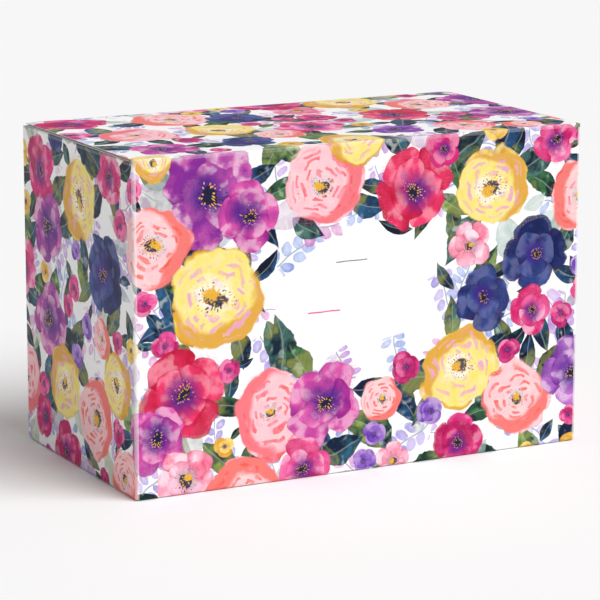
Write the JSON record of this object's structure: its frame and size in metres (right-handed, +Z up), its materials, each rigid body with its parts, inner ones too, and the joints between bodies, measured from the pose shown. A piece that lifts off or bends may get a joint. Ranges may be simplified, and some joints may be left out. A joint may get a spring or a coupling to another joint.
{
  "type": "corrugated gift carton",
  "caption": "Flower-patterned corrugated gift carton with hinged lid, tuck flap, dust flaps and snap-lock bottom.",
  "frame": {"origin": "middle of the base, on the surface that the carton stands on", "axes": "+X along the long side, to the right as seen from the front; the front wall with the blank address area faces -Y; +Z up"},
  "size_m": [0.305, 0.165, 0.203],
  "materials": {
    "printed_liner": "white paper liner with a printed flower pattern, satin coating",
    "flute_medium": "uncoated fluted white-grey medium",
    "plain_liner": "uncoated white liner",
    "folded_board": "creased board, printed outside",
    "glue": "dried adhesive"
  },
  "bodies": {
    "carton": {"front_wall_outer_liner": "printed_liner", "front_wall_fluting": "flute_medium", "front_wall_inner_liner": "plain_liner", "back_wall_outer_liner": "printed_liner", "back_wall_fluting": "flute_medium", "back_wall_inner_liner": "plain_liner", "left_wall_outer_liner": "printed_liner", "left_wall_fluting": "flute_medium", "left_wall_inner_liner": "plain_liner", "right_wall_outer_liner": "printed_liner", "right_wall_fluting": "flute_medium", "right_wall_inner_liner": "plain_liner", "glue_flap_outer_liner": "printed_liner", "glue_flap_fluting": "flute_medium", "glue_flap_inner_liner": "plain_liner", "bottom_front_flap_outer_liner": "printed_liner", "bottom_front_flap_fluting": "flute_medium", "bottom_front_flap_inner_liner": "plain_liner", "bottom_back_flap_outer_liner": "printed_liner", "bottom_back_flap_fluting": "flute_medium", "bottom_back_flap_inner_liner": "plain_liner", "bottom_left_flap_outer_liner": "printed_liner", "bottom_left_flap_fluting": "flute_medium", "bottom_left_flap_inner_liner": "plain_liner", "bottom_right_flap_outer_liner": "printed_liner", "bottom_right_flap_fluting": "flute_medium", "bottom_right_flap_inner_liner": "plain_liner", "corner_fold_front_left": "folded_board", "corner_fold_front_right": "folded_board", "corner_fold_back_right": "folded_board", "glue_flap_fold": "folded_board", "bottom_fold_front": "folded_board", "bottom_fold_back": "folded_board", "bottom_fold_left": "folded_board", "bottom_fold_right": "folded_board", "lid_crease": "folded_board", "dust_crease_left": "folded_board", "dust_crease_right": "folded_board", "glue_seam": "glue"},
    "lid": {"lid_outer_liner": "printed_liner", "lid_fluting": "flute_medium", "lid_inner_liner": "plain_liner", "tuck_crease": "folded_board"},
    "tuck_flap": {"tuck_flap_outer_liner": "printed_liner", "tuck_flap_fluting": "flute_medium", "tuck_flap_inner_liner": "plain_liner"},
    "dust_flap_left": {"dust_flap_left_outer_liner": "printed_liner", "dust_flap_left_fluting": "flute_medium", "dust_flap_left_inner_liner": "plain_liner"},
    "dust_flap_right": {"dust_flap_right_outer_liner": "printed_liner", "dust_flap_right_fluting": "flute_medium", "dust_flap_right_inner_liner": "plain_liner"}
  },
  "joints": [
    {"name": "lid_hinge", "type": "hinge", "parent": "carton", "child": "lid", "pos_m": [0, -0.0817, 0.2022], "axis": [1, 0, 0], "range_deg": [0, 175]},
    {"name": "tuck_flap_hinge", "type": "hinge", "parent": "lid", "child": "tuck_flap", "pos_m": [0, 0.0798, 0.2022], "axis": [1, 0, 0], "range_deg": [0, 70.5]},
    {"name": "dust_flap_left_hinge", "type": "hinge", "parent": "carton", "child": "dust_flap_left", "pos_m": [-0.1517, 0, 0.2003], "axis": [0, -1, 0], "range_deg": [0, 102]},
    {"name": "dust_flap_right_hinge", "type": "hinge", "parent": "carton", "child": "dust_flap_right", "pos_m": [0.1517, 0, 0.2003], "axis": [0, 1, 0], "range_deg": [0, 102]}
  ],
  "couplings": [
    {"joint": "tuck_flap_hinge", "follows": "lid_hinge", "ratio": 0.4},
    {"joint": "dust_flap_left_hinge", "follows": "lid_hinge", "ratio": 0.58},
    {"joint": "dust_flap_right_hinge", "follows": "lid_hinge", "ratio": 0.58}
  ]
}
